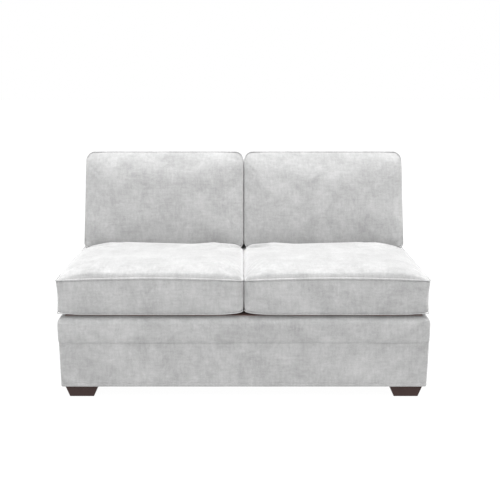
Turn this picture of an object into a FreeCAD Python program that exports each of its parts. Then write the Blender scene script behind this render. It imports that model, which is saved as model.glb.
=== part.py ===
import FreeCAD, Part

import math
import os
from types import SimpleNamespace

import Sketcher

# Armless two-seat sofa, in millimetres
# +X is to the right as seen from the front, the front faces -Y and +Z is up.
# The origin is on the floor, below the centre of the bounding box.

Vector = FreeCAD.Vector

SIZES = {
    # Outer sizes
    "overall_width": 1524,
    "overall_depth": 965,
    "leg_height": 50,
    "base_height": 304,
    "back_height": 508,
    # Base upholstery
    "panel_height": 189,
    "panel_thickness": 3,
    "band_thickness": 7,
    "nosing_radius": 32,
    "nosing_return": 45,
    "dust_cover_thickness": 1,
    # Timber frame
    "rail_thickness": 25,
    "rear_rail_thickness": 22,
    "stretcher_height": 110,
    "spring_rail_height": 80,
    "post_thickness": 30,
    "top_rail_height": 40,
    "tack_rail_height": 60,
    "tack_rail_thickness": 22,
    "block_width": 150,
    "block_height": 32,
    # Legs
    "leg_top_width": 138,
    "leg_foot_width": 100,
    "leg_inset": 13,
    "glide_diameter": 26,
    "glide_height": 3,
    "bolt_diameter": 8,
    "bolt_depth": 30,
    "nut_diameter": 24,
    "nut_thickness": 2,
    # Springs and deck
    "spring_count": 8,
    "spring_wire": 3.8,
    "spring_width": 60,
    "spring_pitch": 32,
    "clip_width": 16,
    "clip_depth": 9,
    "clip_height": 12,
    "tie_wire": 3,
    "burlap_thickness": 1.5,
    "deck_cloth_thickness": 1.5,
    "deck_drop": 2,
    # Back upholstery
    "back_rake": 15.7,
    "rear_setback": 70,
    "lining_thickness": 1.5,
    "padding_thickness": 20,
    "webbing_thickness": 1.5,
    "webbing_width": 55,
    "webbing_count": 8,
    "top_roll_height": 26,
    "top_roll_radius": 22,
    "top_roll_share": 0.35,
    "top_cover_thickness": 4,
    # Seat cushions
    "cushion_side_inset": 9,
    "cushion_gap": 5,
    "cushion_clearance": 0.4,
    "cover_thickness": 3,
    "wrap_thickness": 10,
    "seat_depth": 585,
    "seat_cushion_depth": 712,
    "seat_boxing": 136.4,
    "seat_belly": 17,
    "seat_crown": 45,
    "belly_inset": 100,
    "crown_gap": 14,
    "crown_inset": 210,
    "crown_rear_inset": 95,
    "seat_corner": 16,
    "seat_corner_growth": 0.5,
    "waist": 5,
    "front_waist_share": 0.4,
    "corner_share": 0.46,
    # Back cushions
    "back_cushion_height": 443.6,
    "back_cushion_thickness": 165,
    "back_crown": 35,
    "back_top_corner": 42,
    "back_foot_corner": 26,
    "back_corner_growth": 0.25,
    "back_top_drop": 38,
    "back_top_curve": 1.5,
    "back_side_inset": 175,
    "back_foot_inset": 125,
    "back_top_inset": 145,
    "back_rear_round": 14,
    "back_rear_welt": 15,
    # Zips
    "zip_length": 560,
    "zip_width": 24,
    "zip_thickness": 1.2,
    "slider_length": 14,
    "slider_width": 10,
    "slider_thickness": 3.4,
    "slider_clearance": 0.3,
    "zip_channel_width": 32,
    "zip_channel_depth": 6,
    "back_zip_inset": 24,
}

doc = FreeCAD.newDocument("ArmlessSofa")
sheet = doc.addObject("Spreadsheet::Sheet", "Sizes")
for row, (alias, size) in enumerate(SIZES.items(), start=1):
    sheet.set(f"A{row}", alias)
    sheet.set(f"B{row}", str(size))
    sheet.setAlias(f"B{row}", alias)
doc.recompute()

ref = SimpleNamespace(**{alias: f"Sizes.{alias}" for alias in SIZES})
exported = []


def number(expression):
    """Value of an expression on the sheet."""
    return float(sheet.evalExpression(expression))


# Levels, planes and lines that several pieces share, as expressions
HALF = f"{ref.overall_width} / 2"
FRONT = f"(-{ref.overall_depth} / 2)"
REAR = f"({ref.overall_depth} / 2)"
BASE_Z = ref.leg_height
SEAM_Z = f"({ref.leg_height} + {ref.panel_height})"
TOP_Z = f"({ref.leg_height} + {ref.base_height})"
RAIL_Z = f"({TOP_Z} - {ref.nosing_radius})"
BURLAP_Z = f"({RAIL_Z} + {ref.spring_wire})"
PAD_Z = f"({BURLAP_Z} + {ref.burlap_thickness})"
DECK_Z = f"({TOP_Z} - {ref.deck_drop})"
CLOTH_Z = f"({DECK_Z} - {ref.deck_cloth_thickness})"
BACK_Z = f"({TOP_Z} + {ref.back_height})"
ROLL_Z = f"({BACK_Z} - {ref.top_roll_height})"
TOP_RAIL_Z = f"({ROLL_Z} - {ref.top_rail_height})"
SEAT_BASE_Z = f"({DECK_Z} + {ref.cushion_clearance})"
SEAT_LOW_WELT_Z = f"({SEAT_BASE_Z} + {ref.seat_belly})"
SEAT_WELT_Z = f"({SEAT_LOW_WELT_Z} + {ref.seat_boxing})"
FOOT_Z = f"({SEAT_WELT_Z} + {ref.cushion_clearance})"
FRAME_X = f"({HALF} - {ref.band_thickness})"
INNER_X = f"({FRAME_X} - {ref.rail_thickness})"
PANEL_X = f"({FRAME_X} + {ref.panel_thickness})"
DECK_X = f"({HALF} - {ref.nosing_return})"
FRAME_Y = f"({FRONT} + {ref.band_thickness})"
INNER_Y = f"({FRAME_Y} + {ref.rail_thickness})"
PANEL_Y = f"({FRAME_Y} - {ref.panel_thickness})"
DECK_Y = f"({FRONT} + {ref.nosing_return})"
BACK_FACE_Y = f"({FRONT} + {ref.seat_depth} + {ref.back_cushion_thickness} / cos({ref.back_rake}))"


def inside_back(level, behind="0"):
    """Y of the sloping inside back at a level, moved back by a distance."""
    slope = f"({level} - {FOOT_Z}) * tan({ref.back_rake})"
    return f"({BACK_FACE_Y} + {ref.cushion_clearance} + {slope} + {behind})"


def outside_back(level, ahead="0"):
    """Y of the outside back, which slopes up to the top roll, moved forward by a distance."""
    share = f"({ROLL_Z} - {level}) / ({ROLL_Z} - {BASE_Z})"
    return f"({REAR} - {ref.rear_setback} * {share} - {ahead})"


LINING = ref.lining_thickness
PADDED = f"({LINING} + {ref.padding_thickness})"
WEBBED = f"({PADDED} + {ref.webbing_thickness})"
POST_FRONT = f"({WEBBED} + {ref.tack_rail_thickness})"
POST_REAR = f"({ref.panel_thickness} + {ref.rear_rail_thickness})"
SPRING_RAIL_Y = inside_back(RAIL_Z)
# The rounding of the top roll stays within the depth of the back's top
TOP_DEPTH = f"({REAR} - {inside_back(BACK_Z)})"
TOP_RADIUS = f"min({ref.top_roll_radius}; {TOP_DEPTH} * {ref.top_roll_share})"


def add(kind, name):
    """New document object whose label is its name."""
    thing = doc.addObject(kind, name)
    thing.Label = name
    return thing


def keep(thing):
    """Marks an object as a sub-part that is written out."""
    exported.append(thing)
    return thing


def sketch_in(body, role, name, corners, lift):
    """Closed straight-sided sketch on one of the body's planes, each corner tied to the sheet."""
    plane = next(item for item in body.Origin.OriginFeatures if item.Role == role)
    sketch = body.newObject("Sketcher::SketchObject", name)
    sketch.AttachmentSupport = [(plane, "")]
    sketch.MapMode = "FlatFace"
    sketch.setExpression("AttachmentOffset.Base.z", lift)
    places = [(number(across), number(up)) for across, up in corners]
    for index, start in enumerate(places):
        end = places[(index + 1) % len(places)]
        sketch.addGeometry(Part.LineSegment(Vector(*start, 0), Vector(*end, 0)), False)
    for index in range(len(places)):
        following = (index + 1) % len(places)
        sketch.addConstraint(Sketcher.Constraint("Coincident", index, 2, following, 1))
    for index, (across, up) in enumerate(corners):
        for kind, value, size in (
            ("DistanceX", places[index][0], across),
            ("DistanceY", places[index][1], up),
        ):
            constraint = Sketcher.Constraint(kind, -1, 1, index, 1, value)
            sketch.setExpression(f"Constraints[{sketch.addConstraint(constraint)}]", size)
    return sketch


def prism(name, role, corners, low, high):
    """Body padded from a straight-sided outline, between two places along the plane's axis."""
    body = add("PartDesign::Body", name)
    sketch = sketch_in(body, role, f"{name}_outline", corners, low)
    pad = body.newObject("PartDesign::Pad", f"{name}_pad")
    pad.Profile = sketch
    pad.setExpression("Length", f"({high}) - ({low})")
    body.Tip = pad
    return body


def round_edges(body, name, radius, wanted):
    """Fillets the edges of the body's tip whose midpoint and direction pass a test."""
    doc.recompute()
    tip = body.Tip
    names = []
    for index, edge in enumerate(tip.Shape.Edges, start=1):
        if wanted(edge.CenterOfMass, edge.tangentAt(edge.FirstParameter)):
            names.append(f"Edge{index}")
    fillet = body.newObject("PartDesign::Fillet", name)
    fillet.Base = (tip, names)
    fillet.setExpression("Radius", radius)
    body.Tip = fillet


def block(name, x_range, y_range, z_range):
    """Box between two places on each axis."""
    box = add("Part::Box", name)
    for length, axis, (low, high) in (
        ("Length", "x", x_range),
        ("Width", "y", y_range),
        ("Height", "z", z_range),
    ):
        box.setExpression(length, f"({high}) - ({low})")
        box.setExpression(f"Placement.Base.{axis}", low)
    return box


def cylinder(name, diameter, centre, low, high):
    """Upright cylinder between two levels."""
    rod = add("Part::Cylinder", name)
    rod.setExpression("Radius", f"{diameter} / 2")
    rod.setExpression("Height", f"({high}) - ({low})")
    rod.setExpression("Placement.Base.x", centre[0])
    rod.setExpression("Placement.Base.y", centre[1])
    rod.setExpression("Placement.Base.z", low)
    return rod


def compound(name, pieces):
    """Group of separate solids that share one node."""
    group = add("Part::Compound", name)
    group.Links = pieces
    return group


def cut(name, base, tool):
    result = add("Part::Cut", name)
    result.Base = base
    result.Tool = tool
    return result


def common(name, base, tool):
    result = add("Part::Common", name)
    result.Base = base
    result.Tool = tool
    return result


def feature(name, shape, place=Vector(0, 0, 0)):
    """Sub-part whose shape is made directly, then moved to its place."""
    result = add("Part::Feature", name)
    result.Shape = shape
    result.Placement = FreeCAD.Placement(place, FreeCAD.Rotation())
    return result


SIDES = {"left": -1, "right": 1}


def side_range(sign, inner, outer):
    """Range along X of something on one side."""
    if sign > 0:
        return inner, outer
    return f"-({outer})", f"-({inner})"


# Legs

LEG_HALF = f"({ref.leg_top_width} / 2)"
LEG_X = f"({PANEL_X} - {ref.leg_inset} - {LEG_HALF})"
LEG_Y = {
    "front": f"({PANEL_Y} + {ref.leg_inset} + {LEG_HALF})",
    "rear": f"({outside_back(BASE_Z)} - {ref.leg_inset} - {LEG_HALF})",
}
BLOCK_TOP_Z = f"({BASE_Z} + {ref.block_height})"
BOLT_LOW_Z = f"({BASE_Z} - {ref.bolt_depth})"
NUT_Z = f"({BLOCK_TOP_Z} + {ref.nut_thickness})"


def oblong(half_x, half_y, centre):
    """Corners of a rectangular outline."""
    return [
        (f"{centre[0]} + {sign_x} * {half_x}", f"{centre[1]} + {sign_y} * {half_y}")
        for sign_x, sign_y in ((-1, -1), (1, -1), (1, 1), (-1, 1))
    ]


leg_places = {
    f"{end}_{side}": (f"({sign} * {LEG_X})", LEG_Y[end])
    for end in ("front", "rear")
    for side, sign in SIDES.items()
}

bolts, nuts, glides = [], [], []
for place, centre in leg_places.items():
    bolts.append(cylinder(f"bolt_{place}", ref.bolt_diameter, centre, BOLT_LOW_Z, NUT_Z))
    body = add("PartDesign::Body", f"leg_{place}_block")
    foot_half = f"({ref.leg_foot_width} / 2)"
    # The left and right faces taper, the front and rear faces stand upright
    foot_outline = oblong(foot_half, LEG_HALF, centre)
    top_outline = oblong(LEG_HALF, LEG_HALF, centre)
    foot = sketch_in(body, "XY_Plane", f"{place}_foot", foot_outline, ref.glide_height)
    top = sketch_in(body, "XY_Plane", f"{place}_top", top_outline, BASE_Z)
    taper = body.newObject("PartDesign::AdditiveLoft", f"{place}_taper")
    taper.Profile = foot
    taper.Sections = [top]
    taper.Ruled = True
    body.Tip = taper
    keep(cut(f"leg_{place}", body, bolts[-1]))
    disc = cylinder(f"nut_disc_{place}", ref.nut_diameter, centre, BLOCK_TOP_Z, NUT_Z)
    nuts.append(cut(f"nut_{place}", disc, bolts[-1]))
    glides.append(cylinder(f"glide_{place}", ref.glide_diameter, centre, "0", ref.glide_height))
keep(compound("hanger_bolts", bolts))
keep(compound("t_nuts", nuts))
keep(compound("leg_glides", glides))

# Timber frame


def rect(low_across, high_across, low_up, high_up):
    return [
        (low_across, low_up),
        (high_across, low_up),
        (high_across, high_up),
        (low_across, high_up),
    ]


def leaning(front, rear, low, high):
    """Side outline between two sloping lines, each a function of the level."""
    return [(front(low), low), (rear(low), low), (rear(high), high), (front(high), high)]


def post_front(level):
    return inside_back(level, POST_FRONT)


def post_rear(level):
    return outside_back(level, POST_REAR)


def frame_rear(level):
    return outside_back(level, ref.panel_thickness)


def top_rail_front(level):
    return inside_back(level, WEBBED)


keep(block("front_rail", (f"-{FRAME_X}", FRAME_X), (FRAME_Y, INNER_Y), (BASE_Z, RAIL_Z)))
keep(
    prism(
        "rear_rail",
        "YZ_Plane",
        leaning(post_rear, frame_rear, BASE_Z, RAIL_Z),
        f"-{INNER_X}",
        INNER_X,
    )
)
for side, sign in SIDES.items():
    low, high = side_range(sign, INNER_X, FRAME_X)
    outline = leaning(lambda level: INNER_Y, frame_rear, BASE_Z, RAIL_Z)
    keep(prism(f"side_rail_{side}", "YZ_Plane", outline, low, high))

SPRING_RAIL_REAR_Y = f"({SPRING_RAIL_Y} + {ref.rail_thickness})"
spring_rail_levels = (f"{RAIL_Z} - {ref.spring_rail_height}", RAIL_Z)
keep(
    block(
        "spring_rail",
        (f"-{INNER_X}", INNER_X),
        (SPRING_RAIL_Y, SPRING_RAIL_REAR_Y),
        spring_rail_levels,
    )
)

STRETCHER_Z = f"({BASE_Z} + {ref.stretcher_height})"
TACK_TOP_Z = f"({DECK_Z} + {ref.tack_rail_height})"
POST_HALF = f"({ref.post_thickness} / 2)"
stretcher_outline = leaning(lambda level: INNER_Y, post_rear, BASE_Z, STRETCHER_Z)
keep(prism("centre_stretcher", "YZ_Plane", stretcher_outline, f"-{POST_HALF}", POST_HALF))

# The outer posts stand on the side rails, the centre post on the stretcher behind the spring rail
UPRIGHT_TOP_Z = f"({RAIL_Z} - ({POST_FRONT} - {ref.rail_thickness}) / tan({ref.back_rake}))"
post_tops = [
    (frame_rear(TOP_RAIL_Z), TOP_RAIL_Z),
    (top_rail_front(TOP_RAIL_Z), TOP_RAIL_Z),
    (post_front(TACK_TOP_Z), TACK_TOP_Z),
]
outer_foot = [(post_front(RAIL_Z), RAIL_Z), (post_rear(RAIL_Z), RAIL_Z)]
for side, sign in SIDES.items():
    low, high = side_range(sign, f"{FRAME_X} - {ref.post_thickness}", FRAME_X)
    keep(prism(f"back_post_{side}", "YZ_Plane", outer_foot + post_tops, low, high))
centre_foot = [
    (SPRING_RAIL_REAR_Y, UPRIGHT_TOP_Z),
    (SPRING_RAIL_REAR_Y, STRETCHER_Z),
    (post_rear(STRETCHER_Z), STRETCHER_Z),
    (post_rear(RAIL_Z), RAIL_Z),
]
keep(prism("back_post_centre", "YZ_Plane", centre_foot + post_tops, f"-{POST_HALF}", POST_HALF))

keep(
    prism(
        "back_top_rail",
        "YZ_Plane",
        leaning(top_rail_front, frame_rear, TOP_RAIL_Z, ROLL_Z),
        f"-{FRAME_X}",
        FRAME_X,
    )
)
keep(
    prism(
        "back_tack_rail",
        "YZ_Plane",
        leaning(top_rail_front, post_front, DECK_Z, TACK_TOP_Z),
        f"-{FRAME_X}",
        FRAME_X,
    )
)

# Each corner block fills the corner between two rails and is cut off at 45 degrees


def corner_block(name, sign, end, bolt):
    outer_x = f"({sign} * {INNER_X})"
    reach_x = f"({sign} * ({INNER_X} - {ref.block_width}))"
    short_x = f"({sign} * ({INNER_X} - {ref.rail_thickness}))"
    if end == "front":
        outer_y = INNER_Y
        reach_y = f"({INNER_Y} + {ref.block_width})"
        short_y = f"({INNER_Y} + {ref.rail_thickness})"
    else:
        outer_y = post_rear(BASE_Z)
        reach_y = f"({outer_y} - {ref.block_width})"
        short_y = f"({outer_y} - {ref.rail_thickness})"
    outline = [
        (outer_x, outer_y),
        (reach_x, outer_y),
        (reach_x, short_y),
        (short_x, reach_y),
        (outer_x, reach_y),
    ]
    body = prism(f"{name}_plain", "XY_Plane", outline, BASE_Z, BLOCK_TOP_Z)
    return cut(name, body, bolt)


blocks = []
for (place, centre), bolt in zip(leg_places.items(), bolts):
    end, side = place.split("_")
    blocks.append(corner_block(f"corner_block_{place}", SIDES[side], end, bolt))
keep(compound("corner_blocks", blocks))

# Seat springs: zigzag wires from the front rail to the spring rail, in one level plane

spring_z = number(f"{RAIL_Z} + {ref.spring_wire} / 2")
spring_front = number(f"{INNER_Y} + {ref.spring_wire}")
spring_rear = number(f"{SPRING_RAIL_Y} - {ref.spring_wire}")
wire_radius = number(ref.spring_wire) / 2
spring_half = number(ref.spring_width) / 2
turns = int((spring_rear - spring_front) / number(ref.spring_pitch))
turn_radius = (spring_rear - spring_front) / turns / 2


def zigzag_path():
    """Wire of straight runs across, joined by half turns made of two quarter arcs."""
    run = spring_half - turn_radius
    slant = math.sqrt(0.5) * turn_radius
    edges = []
    for turn in range(turns + 1):
        y = spring_front + 2 * turn_radius * turn
        way = 1 if turn % 2 == 0 else -1
        start = Vector(-way * run, y, spring_z)
        end = Vector(way * run, y, spring_z)
        edges.append(Part.LineSegment(start, end).toShape())
        if turn == turns:
            break
        apex = Vector(way * (run + turn_radius), y + turn_radius, spring_z)
        after = Vector(way * run, y + 2 * turn_radius, spring_z)
        centre = Vector(way * run, y + turn_radius, spring_z)
        first_mid = centre + Vector(way * slant, -slant, 0)
        second_mid = centre + Vector(way * slant, slant, 0)
        edges.append(Part.Arc(end, first_mid, apex).toShape())
        edges.append(Part.Arc(apex, second_mid, after).toShape())
    return Part.Wire(edges)


def tube(path, radius):
    """Round tube along a path of tangent lines and arcs."""
    first = path.OrderedEdges[0]
    direction = first.tangentAt(first.FirstParameter)
    start = first.valueAt(first.FirstParameter)
    ring = Part.Wire([Part.Circle(start, direction, radius).toShape()])
    return path.makePipeShell([ring], True, True)


spring_path = zigzag_path()
one_spring = tube(spring_path, wire_radius)
spring_count = int(number(ref.spring_count))
spring_step = 2 * number(INNER_X) / spring_count
spring_places = [spring_step * (index + 0.5) - number(INNER_X) for index in range(spring_count)]
springs = [one_spring.translated(Vector(x, 0, 0)) for x in spring_places]
keep(feature("seat_springs", Part.makeCompound(springs)))

# Each end of a spring lies in the half-round groove of a clip
clips = []
clip_width = number(ref.clip_width)
clip_depth = number(ref.clip_depth)
clip_height = number(ref.clip_height)
for x in spring_places:
    for low_y, wire_y in (
        (number(INNER_Y), spring_front),
        (number(SPRING_RAIL_Y) - clip_depth, spring_rear),
    ):
        corner = Vector(x - clip_width / 2, low_y, spring_z - clip_height)
        start = Vector(x - clip_width, wire_y, spring_z)
        groove = Part.makeCylinder(wire_radius, 2 * clip_width, start, Vector(1, 0, 0))
        clips.append(Part.makeBox(clip_width, clip_depth, clip_height, corner).cut(groove))
keep(feature("spring_clips", Part.makeCompound(clips)))

# Two tie wires run across under the springs
TIE_Z = f"({RAIL_Z} - {ref.tie_wire} / 2)"
ties = []
for index in (1, 2):
    tie = add("Part::Cylinder", f"tie_{index}")
    tie.setExpression("Radius", f"{ref.tie_wire} / 2")
    tie.setExpression("Height", f"2 * {INNER_X}")
    tie.Placement.Rotation = FreeCAD.Rotation(Vector(0, 1, 0), 90)
    tie.setExpression("Placement.Base.x", f"-{INNER_X}")
    tie.setExpression("Placement.Base.y", f"{INNER_Y} + ({SPRING_RAIL_Y} - {INNER_Y}) * {index} / 3")
    tie.setExpression("Placement.Base.z", TIE_Z)
    ties.append(tie)
keep(compound("spring_ties", ties))

# Deck above the springs

deck_x = (f"-{DECK_X}", DECK_X)
deck_y = (DECK_Y, SPRING_RAIL_REAR_Y)
keep(block("deck_burlap", deck_x, deck_y, (BURLAP_Z, PAD_Z)))
keep(block("deck_pad", deck_x, deck_y, (PAD_Z, CLOTH_Z)))
keep(block("deck_cloth", deck_x, deck_y, (CLOTH_Z, DECK_Z)))

# Nosing band round the top of the base, over a foam edge roll

BAND_END_Y = inside_back(DECK_Z)
INSET_Z = f"({TOP_Z} - {ref.band_thickness})"


def rounded_block(name, x, front, low, high, radius):
    """Block whose front and side top edges are rounded."""
    body = prism(name, "XY_Plane", rect(f"-{x}", x, front, BAND_END_Y), low, high)
    top = number(high)
    rear = number(BAND_END_Y)

    def on_top_outside(middle, direction):
        return abs(middle.z - top) < 0.01 and abs(middle.y - rear) > 0.01

    round_edges(body, f"{name}_rounding", radius, on_top_outside)
    return body


INNER_RADIUS = f"({ref.nosing_radius} - {ref.band_thickness})"
band_outer = rounded_block("band_outer", HALF, FRONT, SEAM_Z, TOP_Z, ref.nosing_radius)
band_inner = rounded_block("band_inner", FRAME_X, FRAME_Y, SEAM_Z, INSET_Z, INNER_RADIUS)
deck_window = block("deck_window", deck_x, (DECK_Y, BAND_END_Y), (SEAM_Z, TOP_Z))
band_skin = cut("band_skin", cut("band_shell", band_outer, band_inner), deck_window)
front_zone = block("front_zone", (f"-{HALF}", HALF), (FRONT, DECK_Y), (SEAM_Z, TOP_Z))
keep(common("front_band", band_skin, front_zone))
for side, sign in SIDES.items():
    zone = block(
        f"{side}_zone", side_range(sign, DECK_X, HALF), (DECK_Y, BAND_END_Y), (SEAM_Z, TOP_Z)
    )
    keep(common(f"side_band_{side}", band_skin, zone))

roll_zone = block("roll_zone", (f"-{FRAME_X}", FRAME_X), (FRAME_Y, BAND_END_Y), (RAIL_Z, INSET_Z))
roll_window = block(
    "roll_window", (f"-{INNER_X}", INNER_X), (INNER_Y, BAND_END_Y), (RAIL_Z, INSET_Z)
)
keep(cut("edge_roll", common("roll_block", band_inner, roll_zone), roll_window))

# Lower panels, outside back and dust cover

keep(block("front_panel", (f"-{PANEL_X}", PANEL_X), (PANEL_Y, FRAME_Y), (BASE_Z, SEAM_Z)))
for side, sign in SIDES.items():
    low, high = side_range(sign, FRAME_X, PANEL_X)
    outline = leaning(lambda level: FRAME_Y, outside_back, BASE_Z, SEAM_Z)
    keep(prism(f"side_panel_{side}", "YZ_Plane", outline, low, high))

outline = leaning(frame_rear, outside_back, BASE_Z, ROLL_Z)
keep(prism("outside_back", "YZ_Plane", outline, f"-{FRAME_X}", FRAME_X))

NOTCH_X = f"({LEG_X} - {LEG_HALF})"
NOTCH_FRONT_Y = f"({LEG_Y['front']} + {LEG_HALF})"
NOTCH_REAR_Y = f"({LEG_Y['rear']} - {LEG_HALF})"
dust_outline = [
    (f"-{NOTCH_X}", FRAME_Y),
    (NOTCH_X, FRAME_Y),
    (NOTCH_X, NOTCH_FRONT_Y),
    (FRAME_X, NOTCH_FRONT_Y),
    (FRAME_X, NOTCH_REAR_Y),
    (NOTCH_X, NOTCH_REAR_Y),
    (NOTCH_X, frame_rear(BASE_Z)),
    (f"-{NOTCH_X}", frame_rear(BASE_Z)),
    (f"-{NOTCH_X}", NOTCH_REAR_Y),
    (f"-{FRAME_X}", NOTCH_REAR_Y),
    (f"-{FRAME_X}", NOTCH_FRONT_Y),
    (f"-{NOTCH_X}", NOTCH_FRONT_Y),
]
dust_low = f"{BASE_Z} - {ref.dust_cover_thickness}"
keep(prism("dust_cover", "XY_Plane", dust_outline, dust_low, BASE_Z))

# Upholstered back


def top_corners(low_limit):
    """Test for the two upper edges that run along X."""

    def wanted(middle, direction):
        return abs(middle.z - low_limit) < 0.01 and abs(direction.x) > 0.9

    return wanted


for side, sign in SIDES.items():
    low, high = side_range(sign, FRAME_X, HALF)
    outline = [
        (BAND_END_Y, SEAM_Z),
        (outside_back(SEAM_Z), SEAM_Z),
        (REAR, ROLL_Z),
        (REAR, BACK_Z),
        (inside_back(BACK_Z), BACK_Z),
        (BAND_END_Y, TOP_Z),
    ]
    cover = prism(f"back_side_{side}", "YZ_Plane", outline, low, high)
    round_edges(cover, f"{side}_top_rounding", TOP_RADIUS, top_corners(number(BACK_Z)))
    keep(cover)


def lining_front(level):
    return inside_back(level)


def lining_rear(level):
    return inside_back(level, LINING)


def padding_rear(level):
    return inside_back(level, PADDED)


def webbing_rear(level):
    return inside_back(level, WEBBED)


outline = leaning(lining_front, lining_rear, DECK_Z, ROLL_Z)
keep(prism("inside_back", "YZ_Plane", outline, f"-{FRAME_X}", FRAME_X))
outline = leaning(lining_rear, padding_rear, DECK_Z, ROLL_Z)
keep(prism("back_padding", "YZ_Plane", outline, f"-{FRAME_X}", FRAME_X))

straps = []
strap_count = int(number(ref.webbing_count))
for index in range(strap_count):
    centre = f"({FRAME_X} * {2 * index + 1 - strap_count} / {strap_count})"
    outline = leaning(padding_rear, webbing_rear, DECK_Z, ROLL_Z)
    low = f"{centre} - {ref.webbing_width} / 2"
    high = f"{centre} + {ref.webbing_width} / 2"
    straps.append(prism(f"strap_{index + 1}", "YZ_Plane", outline, low, high))
keep(compound("back_webbing", straps))

COVER_TOP_Z = f"({BACK_Z} - {ref.top_cover_thickness})"


def roll_front(level):
    return inside_back(level, ref.top_cover_thickness)


def roll_rear(level):
    return f"({REAR} - {ref.panel_thickness})"


outline = leaning(roll_front, roll_rear, ROLL_Z, COVER_TOP_Z)
top_roll = prism("back_top_roll", "YZ_Plane", outline, f"-{FRAME_X}", FRAME_X)
ROLL_RADIUS = f"({TOP_RADIUS} - {ref.top_cover_thickness} / 2)"
round_edges(top_roll, "top_roll_rounding", ROLL_RADIUS, top_corners(number(COVER_TOP_Z)))
keep(top_roll)
outline = leaning(lining_front, lambda level: REAR, ROLL_Z, BACK_Z)
cap = prism("top_cover_block", "YZ_Plane", outline, f"-{FRAME_X}", FRAME_X)
round_edges(cap, "top_cover_rounding", TOP_RADIUS, top_corners(number(BACK_Z)))
keep(cut("back_top_cover", cap, top_roll))

# Cushions


def rounded_outline(x_range, v_range, low_corner, high_corner):
    """Rectangle with quarter-round corners in the XY plane, as a closed wire."""
    x0, x1 = x_range
    v0, v1 = v_range
    widest = number(ref.corner_share) * min(x1 - x0, v1 - v0)
    low_corner, high_corner = min(low_corner, widest), min(high_corner, widest)
    corners = [
        (Vector(x1 - low_corner, v0 + low_corner, 0), low_corner, -45),
        (Vector(x1 - high_corner, v1 - high_corner, 0), high_corner, 45),
        (Vector(x0 + high_corner, v1 - high_corner, 0), high_corner, 135),
        (Vector(x0 + low_corner, v0 + low_corner, 0), low_corner, 225),
    ]
    arcs = []
    for centre, radius, heading in corners:
        points = []
        for turn in (-45, 0, 45):
            angle = math.radians(heading + turn)
            points.append(centre + Vector(radius * math.cos(angle), radius * math.sin(angle), 0))
        arcs.append(points)
    edges = []
    for index, points in enumerate(arcs):
        edges.append(Part.Arc(*points).toShape())
        following = arcs[(index + 1) % len(arcs)]
        edges.append(Part.LineSegment(points[2], following[0]).toShape())
    return Part.Wire(edges)


def dome(rise, insets, steps):
    """Rises and insets of a quarter ellipse, from its edge to its crown."""
    levels = []
    for step in range(steps + 1):
        angle = math.pi / 2 * step / steps
        levels.append((rise * math.sin(angle), *(inset * (1 - math.cos(angle)) for inset in insets)))
    return levels


def hollow(depth, steps):
    """Shares of the way across a side that is drawn in, each with how far it is drawn in."""
    return [(step / steps, depth * math.sin(math.pi * step / steps)) for step in range(steps + 1)]


def stacked(zones):
    """Solid joined from ruled lofts, each through its own run of sections."""
    lofts = [Part.makeLoft(zone, True, True) for zone in zones]
    return lofts[0].multiFuse(lofts[1:]).removeSplitter()


cushion_width = number(f"({HALF} - {ref.cushion_side_inset}) - {ref.cushion_gap} / 2")
cushion_half = cushion_width / 2
cushion_middle = number(ref.cushion_gap) / 2 + cushion_half
front_y = number(FRONT)
cover_wall = number(ref.cover_thickness)
waist = number(ref.waist)

seat_rear = front_y + number(ref.seat_cushion_depth)
seat_low, seat_low_welt = number(SEAT_BASE_Z), number(SEAT_LOW_WELT_Z)
seat_welt = number(SEAT_WELT_Z)
seat_crown = number(ref.seat_crown)
seat_corner = number(ref.seat_corner)
seat_corner_growth = number(ref.seat_corner_growth)
front_share = number(ref.front_waist_share)
crown_rear = front_y + number(ref.seat_depth) - number(ref.crown_gap)


# How many flat strips approach each curve
BELLY_STEPS = 4
SEAT_WAIST_STEPS = 4
BACK_WAIST_STEPS = 5
CROWN_STEPS = 6
ROUNDING_STEPS = 3
LEAST_CORNER = 1

# How far the flat middle of each bulge stays from the sides, the front and the rear
BELLY_INSETS = (number(ref.belly_inset),) * 3
CROWN_INSETS = (number(ref.crown_inset), number(ref.crown_inset), number(ref.crown_rear_inset))


def seat_form(skin):
    """Crowned seat cushion centred on X, drawn in by a skin thickness all round."""
    half = cushion_half - skin
    front, rear = front_y + skin, seat_rear - skin
    rest_rear = crown_rear - skin

    def section(z, side_inset, front_inset, rear_inset, end):
        corner = max(seat_corner - skin, LEAST_CORNER) + seat_corner_growth * side_inset
        wire = rounded_outline(
            (-half + side_inset, half - side_inset),
            (front + front_inset, end - rear_inset),
            corner,
            corner,
        )
        return wire.translated(Vector(0, 0, z))

    low_welt, top_welt = seat_low_welt, seat_welt - skin
    belly = [
        section(low_welt - drop, *insets, rear)
        for drop, *insets in dome(low_welt - seat_low - skin, BELLY_INSETS, BELLY_STEPS)
    ]
    boxing = [
        section(low_welt + share * (top_welt - low_welt), inset, front_share * inset, 0, rear)
        for share, inset in hollow(waist, SEAT_WAIST_STEPS)
    ]
    crown = [
        section(top_welt + rise, *insets, rest_rear)
        for rise, *insets in dome(seat_crown, CROWN_INSETS, CROWN_STEPS)
    ]
    return stacked([belly, boxing, crown])


rake = math.radians(number(ref.back_rake))
foot_y, foot_z = front_y + number(ref.seat_depth), number(FOOT_Z)
back_rise = number(ref.back_cushion_height) / math.cos(rake)
back_reach = number(ref.back_cushion_thickness) / math.cos(rake)
back_crown = number(ref.back_crown) / math.cos(rake)
top_corner = number(ref.back_top_corner)
foot_corner = number(ref.back_foot_corner)
back_corner_growth = number(ref.back_corner_growth)
top_drop = number(ref.back_top_drop)
top_curve = number(ref.back_top_curve)
LEAN = FreeCAD.Rotation(Vector(1, 0, 0), 90 - number(ref.back_rake))


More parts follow.
